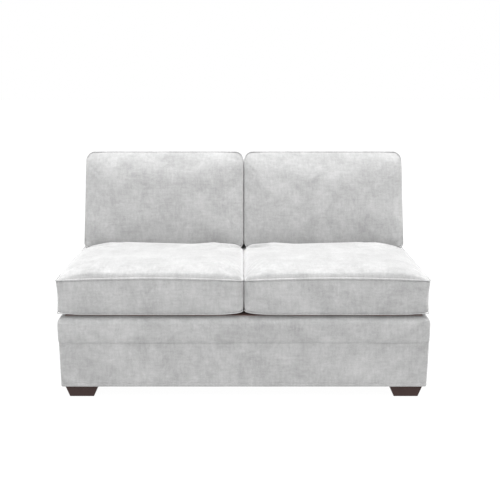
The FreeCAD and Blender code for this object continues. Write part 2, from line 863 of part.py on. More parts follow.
def leaned(wire, y):
    """Turns a flat outline up into the plane that leans back, with its foot at a place in Y."""
    result = wire.copy()
    result.Placement = FreeCAD.Placement(Vector(0, y, foot_z), LEAN)
    return result


# How far the flat middle of the crown stays from the sides, the foot and the top
BACK_INSETS = (number(ref.back_side_inset), number(ref.back_foot_inset), number(ref.back_top_inset))
rear_welt_y = back_reach - number(ref.back_rear_welt)
rear_round = number(ref.back_rear_round)


def back_form(skin):
    """Crowned back cushion centred on X that stands on a level foot and leans back."""

    def section(y, side_inset, foot_inset, top_inset):
        grow = back_corner_growth * side_inset
        inset = side_inset + skin
        wire = rounded_outline(
            (-cushion_half + inset, cushion_half - inset),
            (foot_inset + skin, back_rise - top_inset - skin),
            max(foot_corner - skin, LEAST_CORNER) + grow,
            max(top_corner - skin, LEAST_CORNER) + grow,
        )
        return leaned(wire, foot_y + y)

    front, rear_welt, rear = skin, rear_welt_y, back_reach - skin
    crown = [
        section(front - rise, *insets)
        for rise, *insets in dome(back_crown, BACK_INSETS, CROWN_STEPS)
    ]
    boxing = [
        section(front + share * (rear_welt - front), inset, 0, top_drop * share**top_curve)
        for share, inset in hollow(waist, BACK_WAIST_STEPS)
    ]
    rounding = [
        section(rear_welt + rise, inset, 0, top_drop + inset)
        for rise, inset in dome(rear - rear_welt, (rear_round,), ROUNDING_STEPS)
    ]
    return stacked([crown, boxing, rounding])


zip_length = number(ref.zip_length)
zip_width = number(ref.zip_width)
zip_thickness = number(ref.zip_thickness)
slider_length = number(ref.slider_length)
slider_width = number(ref.slider_width)
slider_thickness = number(ref.slider_thickness)
slider_gap = number(ref.slider_clearance)
channel_width = number(ref.zip_channel_width)
channel_depth = number(ref.zip_channel_depth)
channel_length = zip_length + 2 * slider_length


def centred_box(x, y, z, length, width, low_to_high):
    """Box centred on X and Y that rises from a level."""
    return Part.makeBox(length, width, low_to_high, Vector(x - length / 2, y - width / 2, z))


# The seat cushion's zip lies on its rear boxing, with the slider at the closed end
seat_zip_z = (seat_low_welt + seat_welt) / 2
seat_wrapped = seat_form(cover_wall)
seat_cover = seat_form(0).cut(seat_wrapped)
seat_core = seat_form(cover_wall + number(ref.wrap_thickness))
seat_wrap = seat_wrapped.cut(seat_core)
seat_zip = Part.makeBox(
    zip_length,
    zip_thickness,
    zip_width,
    Vector(-zip_length / 2, seat_rear, seat_zip_z - zip_width / 2),
)
seat_slider = Part.makeBox(
    slider_length,
    slider_thickness,
    slider_width,
    Vector(
        zip_length / 2 - slider_length,
        seat_rear + zip_thickness + slider_gap,
        seat_zip_z - slider_width / 2,
    ),
)

# The back cushion's zip lies in a channel along its foot, behind the seat cushion
zip_y = foot_y + back_reach - number(ref.back_zip_inset)
channel = centred_box(0, zip_y, foot_z, channel_length, channel_width, channel_depth)
housing = centred_box(
    0,
    zip_y,
    foot_z,
    channel_length + 2 * cover_wall,
    channel_width + 2 * cover_wall,
    channel_depth + cover_wall,
)
back_core = back_form(cover_wall).cut(housing)
back_cover = back_form(0).cut(back_core).cut(channel)
zip_ceiling = foot_z + channel_depth
back_zip = centred_box(
    0, zip_y, zip_ceiling - zip_thickness, zip_length, zip_width, zip_thickness
)
back_slider = centred_box(
    zip_length / 2 - slider_length / 2,
    zip_y,
    zip_ceiling - zip_thickness - slider_gap - slider_thickness,
    slider_length,
    slider_width,
    slider_thickness,
)

for side, sign in SIDES.items():
    shift = Vector(sign * cushion_middle, 0, 0)
    for name, shape in (
        ("seat_cover", seat_cover),
        ("seat_foam", seat_core),
        ("seat_wrap", seat_wrap),
        ("seat_zip", seat_zip),
        ("seat_zip_slider", seat_slider),
        ("back_cover", back_cover),
        ("back_fill", back_core),
        ("back_zip", back_zip),
        ("back_zip_slider", back_slider),
    ):
        keep(feature(f"{name}_{side}", shape, shift))

# Check and write every sub-part

doc.recompute()
faults = []
for thing in doc.Objects:
    if "Invalid" in thing.State or "Error" in thing.State:
        faults.append(f"{thing.Label}: {thing.State}")
for thing in exported:
    if thing.Shape.isNull() or not thing.Shape.isValid() or not thing.Shape.Solids:
        faults.append(f"{thing.Label}: shape is not valid")
if faults:
    raise RuntimeError("; ".join(faults))

os.makedirs("parts", exist_ok=True)
whole = FreeCAD.BoundBox()
for thing in exported:
    whole.add(thing.Shape.BoundBox)
    thing.Shape.exportStep(f"parts/{thing.Label}.step")
print(len(exported), "nodes", whole)
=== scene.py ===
import math

import bmesh
import bpy
from mathutils import Matrix, Vector, kdtree, noise


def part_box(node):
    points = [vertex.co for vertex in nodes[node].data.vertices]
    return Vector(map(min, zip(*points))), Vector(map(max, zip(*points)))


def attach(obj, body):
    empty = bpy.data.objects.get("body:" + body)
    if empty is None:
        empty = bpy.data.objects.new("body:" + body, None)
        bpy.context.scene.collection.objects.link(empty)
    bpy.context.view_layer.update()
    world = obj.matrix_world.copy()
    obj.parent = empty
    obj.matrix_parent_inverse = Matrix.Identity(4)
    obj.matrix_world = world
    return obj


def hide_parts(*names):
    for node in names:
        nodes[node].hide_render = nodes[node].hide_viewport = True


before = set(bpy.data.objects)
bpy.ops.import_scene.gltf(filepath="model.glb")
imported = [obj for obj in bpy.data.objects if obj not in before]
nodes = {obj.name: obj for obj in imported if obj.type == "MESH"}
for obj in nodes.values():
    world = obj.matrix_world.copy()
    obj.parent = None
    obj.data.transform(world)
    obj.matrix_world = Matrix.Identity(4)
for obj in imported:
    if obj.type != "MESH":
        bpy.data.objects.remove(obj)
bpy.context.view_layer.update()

# Armless two-seat sofa: the looks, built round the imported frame, in metres

SIDES = {"left": -1, "right": 1}

# Planes of the sofa that several pieces share
HALF_WIDTH = 0.762
FRONT_Y = -0.4825
REAR_Y = 0.4825
HEM_Z = 0.050
SEAM_Z = 0.239
BASE_TOP_Z = 0.354
BACK_TOP_Z = 0.862
ROLL_Z = 0.836
FRAME_X = 0.755
RAKE = math.radians(15.7)
BACK_FOOT_Z = 0.5062
BACK_FOOT_Y = 0.1025
BACK_REACH = 0.1714
INSIDE_FOOT_Y = 0.2743
CUSHION_HALF = 0.37525
CUSHION_MIDDLE = 0.37775

# Modelling helpers


def clear_selection():
    bpy.ops.object.select_all(action="DESELECT")


def take(piece):
    """Makes one piece the only selected and the active one."""
    clear_selection()
    piece.select_set(True)
    bpy.context.view_layer.objects.active = piece


def block(name, low, high):
    """Box between two corners, with its place in its mesh."""
    clear_selection()
    middle = [(a + b) / 2 for a, b in zip(low, high)]
    bpy.ops.mesh.primitive_cube_add(size=1, location=middle)
    piece = bpy.context.active_object
    piece.name = piece.data.name = name
    piece.scale = [b - a for a, b in zip(low, high)]
    bpy.ops.object.transform_apply(location=True, rotation=True, scale=True)
    return piece


def edit(piece):
    take(piece)
    bpy.ops.object.mode_set(mode="EDIT")


def done():
    bpy.ops.object.mode_set(mode="OBJECT")


def middle_of(part):
    if hasattr(part, "calc_center_median"):
        return part.calc_center_median()
    if hasattr(part, "verts"):
        return (part.verts[0].co + part.verts[1].co) / 2
    return part.co


def choose(kind, wanted):
    """Selects the vertices, edges or faces of the piece in edit mode that pass a test."""
    piece = bpy.context.edit_object
    bpy.ops.mesh.select_mode(type=kind)
    bpy.ops.mesh.select_all(action="DESELECT")
    mesh = bmesh.from_edit_mesh(piece.data)
    parts = {"VERT": mesh.verts, "EDGE": mesh.edges, "FACE": mesh.faces}[kind]
    parts.ensure_lookup_table()
    for part in parts:
        part.select_set(wanted(part))
    mesh.select_flush_mode()
    bmesh.update_edit_mesh(piece.data)


def near(value, target, tolerance=1e-4):
    return abs(value - target) < tolerance


def along(edge, axis):
    """True for an edge that runs along one axis."""
    way = edge.verts[1].co - edge.verts[0].co
    return abs(way[axis]) > 0.999 * way.length


def cut_off(point, normal, fill=True):
    """Cuts away what lies on the far side of a plane, and closes the cut."""
    bpy.ops.mesh.select_all(action="SELECT")
    bpy.ops.mesh.bisect(plane_co=point, plane_no=normal, use_fill=fill, clear_outer=True)


def slice_at(axis, places):
    """Adds a loop of edges across the piece at each place along an axis."""
    normal = [0, 0, 0]
    normal[axis] = 1
    for place in places:
        point = [0, 0, 0]
        point[axis] = place
        bpy.ops.mesh.select_all(action="SELECT")
        bpy.ops.mesh.bisect(plane_co=point, plane_no=normal)


def spread(low, high, step):
    """Evenly spaced places between two ends, about a step apart, without the ends."""
    count = max(1, round((high - low) / step))
    return [low + (high - low) * index / count for index in range(1, count)]


def apply_modifier(piece, kind, **settings):
    take(piece)
    modifier = piece.modifiers.new(kind.lower(), kind)
    for key, value in settings.items():
        setattr(modifier, key, value)
    bpy.ops.object.modifier_apply(modifier=modifier.name)


def subdivide(piece, levels=1):
    apply_modifier(piece, "SUBSURF", levels=levels, render_levels=levels)


def smooth_shade(piece, angle=40):
    take(piece)
    bpy.ops.object.shade_smooth_by_angle(angle=math.radians(angle))


def outward(piece):
    """Points every face of a closed piece outwards."""
    edit(piece)
    bpy.ops.mesh.select_all(action="SELECT")
    bpy.ops.mesh.remove_doubles(threshold=1e-5)
    bpy.ops.mesh.normals_make_consistent(inside=False)
    done()


def ease(piece, height, scale, seed):
    """Moves the surface in and out by a slow unevenness, as cloth over padding has."""
    mesh = piece.data
    normals = [vertex.normal.copy() for vertex in mesh.vertices]
    shift = Vector((seed * 7.3, seed * 3.1, seed * 5.7))
    for vertex, normal in zip(mesh.vertices, normals):
        vertex.co += normal * height * noise.noise(vertex.co * scale + shift)
    mesh.update()


def finish_piece(piece, material, slot, body, *stands_for):
    """Gives a piece its finish, its body and the nodes it stands for."""
    piece.data.materials.clear()
    piece.data.materials.append(material)
    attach(piece, body)
    if stands_for:
        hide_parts(*stands_for)


# Camera at the photograph's angle

LENS = 55.81
SHIFT_X = 0.0123
CAMERA_PLACE = (0, -3.480, 1.335)
PITCH = 13.18
camera_data = bpy.data.cameras.new("camera")
camera_data.sensor_width = 36
camera_data.lens = LENS
camera_data.shift_x = SHIFT_X
camera = bpy.data.objects.new("camera", camera_data)
bpy.context.scene.collection.objects.link(camera)
camera.location = CAMERA_PLACE
camera.rotation_euler = (math.radians(90 - PITCH), 0, 0)
bpy.context.scene.camera = camera

# Soft studio: pale glowing floor, a sky that is white low down and dimmer above, and one
# wide light from overhead

WHITE_BELOW, DIM_ABOVE = 0.12, 0.24
DIM_SKY = 0.58
LIGHT_ENERGY = 5.0
LIGHT_SPREAD = math.radians(75)
LIGHT_TILT = (math.radians(6), math.radians(4), 0)
bpy.context.scene.view_settings.view_transform = "Standard"
world = bpy.data.worlds.new("studio")
bpy.context.scene.world = world
world.use_nodes = True
sky_nodes, sky_links = world.node_tree.nodes, world.node_tree.links
sky_place = sky_nodes.new("ShaderNodeTexCoord")
sky_height = sky_nodes.new("ShaderNodeSeparateXYZ")
sky_ramp = sky_nodes.new("ShaderNodeValToRGB")
sky_links.new(sky_place.outputs["Generated"], sky_height.inputs[0])
sky_links.new(sky_height.outputs["Z"], sky_ramp.inputs["Fac"])
sky_ramp.color_ramp.elements[0].position = WHITE_BELOW
sky_ramp.color_ramp.elements[0].color = (1, 1, 1, 1)
sky_ramp.color_ramp.elements[1].position = DIM_ABOVE
sky_ramp.color_ramp.elements[1].color = (DIM_SKY, DIM_SKY, DIM_SKY, 1)
sky_links.new(sky_ramp.outputs["Color"], sky_nodes["Background"].inputs["Color"])

overhead_data = bpy.data.lights.new("overhead", "SUN")
overhead_data.energy = LIGHT_ENERGY
overhead_data.angle = LIGHT_SPREAD
overhead = bpy.data.objects.new("overhead", overhead_data)
bpy.context.scene.collection.objects.link(overhead)
overhead.rotation_euler = LIGHT_TILT

clear_selection()
bpy.ops.mesh.primitive_plane_add(size=60, location=(0, 0, 0))
floor = bpy.context.active_object
floor.name = "studio_floor"

# Materials


class Shader:
    """Short hand for adding and joining nodes of one material."""

    def __init__(self, name):
        self.material = bpy.data.materials.new(name)
        self.material.use_nodes = True
        self.nodes = self.material.node_tree.nodes
        self.links = self.material.node_tree.links
        self.surface = self.nodes["Principled BSDF"]

    def add(self, kind, **values):
        node = self.nodes.new(kind)
        for key, value in values.items():
            setattr(node, key, value)
        return node

    def join(self, source, target):
        self.links.new(source, target)

    def place(self, scale):
        """Object coordinates stretched by a scale along each axis."""
        where = self.add("ShaderNodeTexCoord")
        mapping = self.add("ShaderNodeMapping")
        mapping.inputs["Scale"].default_value = scale
        self.join(where.outputs["Object"], mapping.inputs["Vector"])
        return mapping.outputs["Vector"]

    def noise(self, scale, detail=4, roughness=0.5, distortion=0.0):
        node = self.add("ShaderNodeTexNoise")
        node.inputs["Scale"].default_value = 1
        node.inputs["Detail"].default_value = detail
        node.inputs["Roughness"].default_value = roughness
        node.inputs["Distortion"].default_value = distortion
        self.join(self.place(scale), node.inputs["Vector"])
        return node.outputs["Fac"]

    def math(self, operation, first, second):
        node = self.add("ShaderNodeMath", operation=operation)
        for index, value in enumerate((first, second)):
            if isinstance(value, (int, float)):
                node.inputs[index].default_value = value
            else:
                self.join(value, node.inputs[index])
        return node.outputs[0]

    def blend(self, *parts):
        """Sum of several patterns, each with its share."""
        total = None
        for source, share in parts:
            part = self.math("MULTIPLY", source, share)
            total = part if total is None else self.math("ADD", total, part)
        return total

    def ramp(self, factor, stops):
        node = self.add("ShaderNodeValToRGB")
        ramp = node.color_ramp
        while len(ramp.elements) < len(stops):
            ramp.elements.new(0.5)
        for element, (place, colour) in zip(ramp.elements, stops):
            element.position = place
            element.color = (*colour, 1)
        self.join(factor, node.inputs["Fac"])
        return node.outputs["Color"]

    def bump(self, height, strength, distance, under=None):
        node = self.add("ShaderNodeBump")
        node.inputs["Strength"].default_value = strength
        node.inputs["Distance"].default_value = distance
        self.join(height, node.inputs["Height"])
        if under is not None:
            self.join(under, node.inputs["Normal"])
        return node.outputs["Normal"]

    def colour(self, source):
        self.join(source, self.surface.inputs["Base Color"])

    def normal(self, source):
        self.join(source, self.surface.inputs["Normal"])

    def set(self, **values):
        for key, value in values.items():
            self.surface.inputs[key.replace("_", " ").title()].default_value = value


def grey(value):
    return (value, value, value)


# A wave texture of scale 1 repeats every 2 pi / 20
WAVE_FACTOR = 20


def brushed_chenille():
    """Light grey pile cloth, clouded where the pile is brushed one way or the other."""
    shader = Shader("brushed_chenille")
    cloud = shader.noise((9, 9, 9), detail=8, roughness=0.72, distortion=0.4)
    upright = shader.noise((110, 34, 26), detail=3, roughness=0.6)
    level = shader.noise((26, 90, 110), detail=3, roughness=0.6)
    tuft = shader.noise((240, 240, 240), detail=2, roughness=0.6)
    nap = shader.noise((900, 900, 900), detail=2, roughness=0.6)
    mix = shader.blend((cloud, 0.44), (upright, 0.16), (level, 0.15), (tuft, 0.16), (nap, 0.09))
    shader.colour(
        shader.ramp(mix, [(0.40, grey(0.305)), (0.5, grey(0.385)), (0.60, grey(0.47))])
    )
    shader.normal(shader.bump(nap, 0.35, 0.0006, shader.bump(tuft, 0.25, 0.0014)))
    shader.set(roughness=0.9, sheen_weight=0.75, sheen_roughness=0.5)
    shader.surface.inputs["Specular IOR Level"].default_value = 0.2
    return shader.material


def woven_cloth(name, dark, light, thread=0.0011):
    """Plain weave: two sets of threads that cross, with slubs."""
    shader = Shader(name)
    pitch = 2 * math.pi / thread
    across = shader.add("ShaderNodeTexWave", wave_type="BANDS", bands_direction="X")
    up = shader.add("ShaderNodeTexWave", wave_type="BANDS", bands_direction="Z")
    deep = shader.add("ShaderNodeTexWave", wave_type="BANDS", bands_direction="Y")
    where = shader.place((1, 1, 1))
    for wave in (across, up, deep):
        wave.inputs["Scale"].default_value = pitch / WAVE_FACTOR
        wave.inputs["Distortion"].default_value = 0.4
        shader.join(where, wave.inputs["Vector"])
    upright = shader.math("MAXIMUM", up.outputs["Fac"], deep.outputs["Fac"])
    weave = shader.math("MULTIPLY", across.outputs["Fac"], upright)
    slub = shader.noise((60, 160, 160), detail=4, roughness=0.6)
    mix = shader.blend((weave, 0.4), (slub, 0.6))
    shader.colour(shader.ramp(mix, [(0.2, dark), (0.75, light)]))
    shader.normal(shader.bump(weave, 0.4, 0.0004))
    shader.set(roughness=0.95, sheen_weight=0.1)
    return shader.material


def stained_wood(name, dark, light, roughness):
    """Straight grain along Z and X, with fine pores."""
    shader = Shader(name)
    grain = shader.noise((22, 90, 9), detail=8, roughness=0.65, distortion=0.6)
    pores = shader.noise((300, 900, 40), detail=4, roughness=0.7)
    mix = shader.blend((grain, 0.75), (pores, 0.25))
    shader.colour(shader.ramp(mix, [(0.3, dark), (0.72, light)]))
    shader.normal(shader.bump(pores, 0.12, 0.0004))
    shader.set(roughness=roughness)
    shader.surface.inputs["Specular IOR Level"].default_value = 0.35
    return shader.material


def metal(name, colour, roughness):
    shader = Shader(name)
    wear = shader.noise((300, 300, 300), detail=3, roughness=0.6)
    dull = tuple(0.8 * channel for channel in colour)
    shader.colour(shader.ramp(wear, [(0.35, dull), (0.6, colour)]))
    shader.normal(shader.bump(wear, 0.08, 0.0003))
    shader.set(roughness=roughness, metallic=1.0)
    return shader.material


def matt_plastic(name, colour):
    shader = Shader(name)
    grain = shader.noise((700, 700, 700), detail=2, roughness=0.5)
    darker = tuple(0.75 * channel for channel in colour)
    shader.colour(shader.ramp(grain, [(0.3, darker), (0.7, colour)]))
    shader.normal(shader.bump(grain, 0.1, 0.0003))
    shader.set(roughness=0.5)
    return shader.material


def pale_floor():
    shader = Shader("pale_floor")
    mottle = shader.noise((3, 3, 3), detail=3, roughness=0.5)
    shader.colour(shader.ramp(mottle, [(0.3, grey(0.05)), (0.7, grey(0.055))]))
    shader.set(roughness=0.95, emission_strength=0.98, emission_color=(1, 1, 1, 1))
    shader.surface.inputs["Specular IOR Level"].default_value = 0.1
    return shader.material


cover_cloth = brushed_chenille()
# Dark brown cloth for the deck and the back lining: a real cloth, but its brown is picked to stand
# for the shade seen in the gaps round the cushions, so it is partly painted shade
deck_brown_painted_shade = woven_cloth("deck_cloth", (0.14, 0.075, 0.064), (0.26, 0.15, 0.13))
dust_black = woven_cloth("dust_cloth", (0.010, 0.010, 0.011), (0.030, 0.030, 0.032), 0.0016)
zip_cloth = woven_cloth("zip_cloth", (0.30, 0.30, 0.30), (0.44, 0.44, 0.44), 0.0008)
espresso = stained_wood("espresso_wood", (0.027, 0.0105, 0.0085), (0.046, 0.020, 0.017), 0.5)
frame_wood = stained_wood("frame_wood", (0.42, 0.27, 0.14), (0.62, 0.44, 0.26), 0.7)
zinc = metal("zinc_plate", (0.62, 0.63, 0.66), 0.35)
spring_wire = metal("spring_wire", (0.20, 0.20, 0.21), 0.4)
glide_nylon = matt_plastic("glide_nylon", (0.08, 0.08, 0.085))
floor.data.materials.append(pale_floor())

# Frame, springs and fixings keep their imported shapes

NODE_FINISHES = {
    frame_wood: (
        "front_rail rear_rail side_rail_left side_rail_right spring_rail centre_stretcher"
        " back_post_left back_post_centre back_post_right back_top_rail back_tack_rail corner_blocks"
    ),
    zinc: "hanger_bolts t_nuts",
    spring_wire: "seat_springs spring_clips spring_ties",
    glide_nylon: "leg_glides",
}
for finish, names in NODE_FINISHES.items():
    for name in names.split():
        nodes[name].data.materials.clear()
        nodes[name].data.materials.append(finish)

# Legs: blocks whose left and right faces taper to the foot, edges eased

LEG_TOP_HALF = 0.069
LEG_FOOT_HALF = 0.050
GLIDE_Z = 0.0015
LEG_EASE = 0.0018
for name in ("front_left", "front_right", "rear_left", "rear_right"):
    low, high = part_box(f"leg_{name}")
    middle_x, middle_y = (low.x + high.x) / 2, (low.y + high.y) / 2
    leg = block(
        f"leg_block_{name}",
        (middle_x - LEG_TOP_HALF, middle_y - LEG_TOP_HALF, GLIDE_Z),
        (middle_x + LEG_TOP_HALF, middle_y + LEG_TOP_HALF, high.z),
    )
    edit(leg)
    choose("FACE", lambda face: near(middle_of(face).z, GLIDE_Z))
    share = LEG_FOOT_HALF / LEG_TOP_HALF
    bpy.ops.transform.resize(value=(share, 1, 1), center_override=(middle_x, middle_y, GLIDE_Z))
    choose("EDGE", lambda edge: not near(middle_of(edge).z, high.z))
    bpy.ops.mesh.bevel(offset=LEG_EASE, segments=3, affect="EDGES")
    done()
    smooth_shade(leg, 50)
    finish_piece(leg, espresso, "dark_wood", "base", f"leg_{name}")

# Base: padded band over the edge roll, with a rounded top

NOSING = 0.032
NOSING_STEPS = 7
NOSING_LIP = 0.006
BAND_REAR_Y = 0.2310
BAND_CORNER = 0.012
BAND_THICK = 0.005
EDGE_MARGIN = 0.04
CLOTH_STEP = 0.03
# How far the lower edge of the band turns in at each height above its seam, less at the sides
TURN_IN = ((0, 0.0038), (0.004, 0.0020), (0.010, 0.0008), (0.018, 0.0002))
SIDE_TURN = 0.4
band = block(
    "base_band", (-HALF_WIDTH, FRONT_Y, SEAM_Z), (HALF_WIDTH, BAND_REAR_Y, BASE_TOP_Z - NOSING)
)
edit(band)
choose("EDGE", lambda edge: along(edge, 2) and near(middle_of(edge).y, FRONT_Y))
bpy.ops.mesh.bevel(offset=BAND_CORNER, segments=4, affect="EDGES")
inset, level = 0.0, BASE_TOP_Z - NOSING
for step in range(1, NOSING_STEPS + 1):
    turn = math.pi / 2 * step / NOSING_STEPS
    next_inset = NOSING * (1 - math.cos(turn))
    next_level = BASE_TOP_Z - NOSING + NOSING * math.sin(turn)
    choose("FACE", lambda face: near(middle_of(face).z, level) and face.normal.z > 0.9)
    bpy.ops.mesh.extrude_region_move(TRANSFORM_OT_translate={"value": (0, 0, next_level - level)})
    share_x = (HALF_WIDTH - next_inset) / (HALF_WIDTH - inset)
    depth = BAND_REAR_Y - FRONT_Y
    share_y = (depth - next_inset) / (depth - inset)
    bpy.ops.transform.resize(
        value=(share_x, share_y, 1), center_override=(0, BAND_REAR_Y, next_level)
    )
    inset, level = next_inset, next_level
choose("FACE", lambda face: near(middle_of(face).z, level) and face.normal.z > 0.9)
bpy.ops.mesh.extrude_region_move(TRANSFORM_OT_translate={"value": (0, 0, -NOSING_LIP)})
choose(
    "FACE",
    lambda face: near(middle_of(face).z, level - NOSING_LIP)
    or near(middle_of(face).z, SEAM_Z)
    or near(middle_of(face).y, BAND_REAR_Y),
)
bpy.ops.mesh.delete(type="FACE")
slice_at(0, spread(-HALF_WIDTH + EDGE_MARGIN, HALF_WIDTH - EDGE_MARGIN, CLOTH_STEP))
slice_at(1, spread(FRONT_Y + EDGE_MARGIN, BAND_REAR_Y, CLOTH_STEP))
slice_at(2, [*(SEAM_Z + rise for rise, _ in TURN_IN[1:]), SEAM_Z + 0.035, SEAM_Z + 0.055])
for rise, turn in TURN_IN:
    choose("VERT", lambda vertex: near(vertex.co.z, SEAM_Z + rise))
    bpy.ops.transform.resize(
        value=(1 - SIDE_TURN * turn / HALF_WIDTH, 1 + turn / FRONT_Y, 1),
        center_override=(0, 0, SEAM_Z),
    )
done()
ease(band, 0.0016, 9, 1)
apply_modifier(band, "SOLIDIFY", thickness=BAND_THICK, offset=-1)
subdivide(band)
smooth_shade(band)
BAND_NODES = ("front_band", "side_band_left", "side_band_right", "edge_roll")
finish_piece(band, cover_cloth, "cover_cloth", "base", *BAND_NODES)

# Lower panel round the front and sides, with a stitched hem

PANEL_X = 0.7595
PANEL_Y = -0.4785
PANEL_CORNER = 0.010
PANEL_THICK = 0.003
PANEL_STEP = 0.035
REAR_RISE = 0.070


def outside_back(level):
    """Y of the outside back, which slopes up to the top roll."""
    return REAR_Y - REAR_RISE * (ROLL_Z - level) / (ROLL_Z - HEM_Z)


REAR_SLOPE = Vector((0, 1, -REAR_RISE / (ROLL_Z - HEM_Z))).normalized()
HEM_STITCH_Z = 0.064
HEM_LOOPS = (0.0525, 0.061, 0.0628, HEM_STITCH_Z, 0.0652, 0.067)
PANEL_LOW_Z, PANEL_HIGH_Z = HEM_Z - 0.0008, SEAM_Z + 0.010
panel = block("base_panel", (-PANEL_X, PANEL_Y, PANEL_LOW_Z), (PANEL_X, REAR_Y, PANEL_HIGH_Z))
edit(panel)
choose("EDGE", lambda edge: along(edge, 2) and near(middle_of(edge).y, PANEL_Y))
bpy.ops.mesh.bevel(offset=PANEL_CORNER, segments=4, affect="EDGES")
cut_off((0, outside_back(HEM_Z), HEM_Z), REAR_SLOPE)
choose("FACE", lambda face: abs(face.normal.z) > 0.9 or face.normal.y > 0.9)
bpy.ops.mesh.delete(type="FACE")
slice_at(0, spread(-PANEL_X + 0.03, PANEL_X - 0.03, PANEL_STEP))
slice_at(1, spread(PANEL_Y + 0.03, REAR_Y, PANEL_STEP))
slice_at(2, [*HEM_LOOPS, *spread(0.075, PANEL_HIGH_Z, CLOTH_STEP)])
choose("VERT", lambda vertex: near(vertex.co.z, HEM_STITCH_Z))
bpy.ops.transform.resize(value=(0.9982, 0.9968, 1), center_override=(0, 0, HEM_STITCH_Z))
choose("VERT", lambda vertex: near(vertex.co.z, PANEL_LOW_Z))
bpy.ops.transform.resize(value=(0.9990, 0.9985, 1), center_override=(0, 0, HEM_Z))
done()
ease(panel, 0.0012, 8, 2)
apply_modifier(panel, "SOLIDIFY", thickness=PANEL_THICK, offset=-1)
subdivide(panel)
smooth_shade(panel)
finish_piece(
    panel, cover_cloth, "cover_cloth", "base", "front_panel", "side_panel_left", "side_panel_right"
)

# Deck under the cushions, in brown cloth that meets the nosing and is lifted at its edges, so that
# its brown shows as painted shade in the gap under the seat cushions' front

DECK_Z = 0.352
DECK_LOW_Z = 0.330
DECK_X = HALF_WIDTH - NOSING
DECK_FRONT_Y = FRONT_Y + 0.024
DECK_REAR_Y = 0.270
DECK_STEP = 0.05
LIP = 0.0026
deck = block("deck_top", (-DECK_X, DECK_FRONT_Y, DECK_LOW_Z), (DECK_X, DECK_REAR_Y, DECK_Z))
edit(deck)
slice_at(0, [-DECK_X + 0.006, -DECK_X + 0.014, DECK_X - 0.014, DECK_X - 0.006])
slice_at(1, [DECK_FRONT_Y + 0.022, DECK_FRONT_Y + 0.034])
slice_at(0, spread(-DECK_X + 0.014, DECK_X - 0.014, DECK_STEP))
slice_at(1, spread(DECK_FRONT_Y + 0.034, DECK_REAR_Y, DECK_STEP))
choose(
    "VERT",
    lambda vertex: near(vertex.co.z, DECK_Z)
    and (abs(vertex.co.x) > DECK_X - 0.007 or vertex.co.y < DECK_FRONT_Y + 0.023),
)
bpy.ops.transform.translate(value=(0, 0, LIP))
done()
smooth_shade(deck)
finish_piece(deck, deck_brown_painted_shade, "deck_cloth", "base", "deck_cloth", "deck_pad", "deck_burlap")

# Upholstered back

FRONT_SLOPE = Vector((0, -1, math.tan(RAKE))).normalized()
LINING_THICK = 0.0215
OUTSIDE_THICK = 0.003
TOP_RADIUS = 0.021
CHEEK_EASE = 0.004


def inside_back(level):
    """Y of the sloping inside back."""
    return INSIDE_FOOT_Y + (level - BACK_FOOT_Z) * math.tan(RAKE)


lining = block("back_lining", (-FRAME_X, 0.15, DECK_Z), (FRAME_X, 0.45, ROLL_Z))
edit(lining)
cut_off((0, inside_back(DECK_Z), DECK_Z), FRONT_SLOPE)
cut_off((0, inside_back(DECK_Z) + LINING_THICK, DECK_Z), -FRONT_SLOPE)
slice_at(0, spread(-FRAME_X, FRAME_X, 0.06))
slice_at(2, spread(DECK_Z, ROLL_Z, 0.06))
done()
ease(lining, 0.0006, 9, 3)
smooth_shade(lining)
# The lining takes the same brown cloth, whose brown between the back cushions' lower corners is
# painted shade
finish_piece(
    lining, deck_brown_painted_shade, "deck_cloth", "base", "inside_back", "back_padding", "back_webbing"
)

rear = block("back_outside", (-FRAME_X, 0.35, HEM_Z), (FRAME_X, REAR_Y, ROLL_Z))
edit(rear)
cut_off((0, outside_back(HEM_Z), HEM_Z), REAR_SLOPE)
cut_off((0, outside_back(HEM_Z) - OUTSIDE_THICK, HEM_Z), -REAR_SLOPE)
choose("EDGE", lambda edge: middle_of(edge).y > outside_back(middle_of(edge).z) - 0.0005)
bpy.ops.mesh.bevel(offset=0.002, segments=2, affect="EDGES")
slice_at(0, spread(-FRAME_X + 0.004, FRAME_X - 0.004, PANEL_STEP))
slice_at(2, [0.0615, 0.0628, HEM_STITCH_Z, 0.0652, *spread(0.07, ROLL_Z - 0.004, PANEL_STEP)])
choose("VERT", lambda vertex: near(vertex.co.z, HEM_STITCH_Z) and vertex.co.y > 0.412)
bpy.ops.transform.translate(value=(0, -0.0012, 0))
done()
ease(rear, 0.0012, 7, 4)
smooth_shade(rear)
finish_piece(rear, cover_cloth, "cover_cloth", "base", "outside_back")

roll = block("back_top", (-FRAME_X, 0.30, ROLL_Z), (FRAME_X, REAR_Y, BACK_TOP_Z))
edit(roll)
cut_off((0, inside_back(ROLL_Z), ROLL_Z), FRONT_SLOPE)
choose("EDGE", lambda edge: along(edge, 0) and near(middle_of(edge).z, BACK_TOP_Z))
bpy.ops.mesh.bevel(offset=TOP_RADIUS, segments=7, affect="EDGES")
slice_at(0, spread(-FRAME_X, FRAME_X, CLOTH_STEP))
done()
ease(roll, 0.0012, 9, 5)
smooth_shade(roll)
finish_piece(roll, cover_cloth, "cover_cloth", "base", "back_top_cover", "back_top_roll")

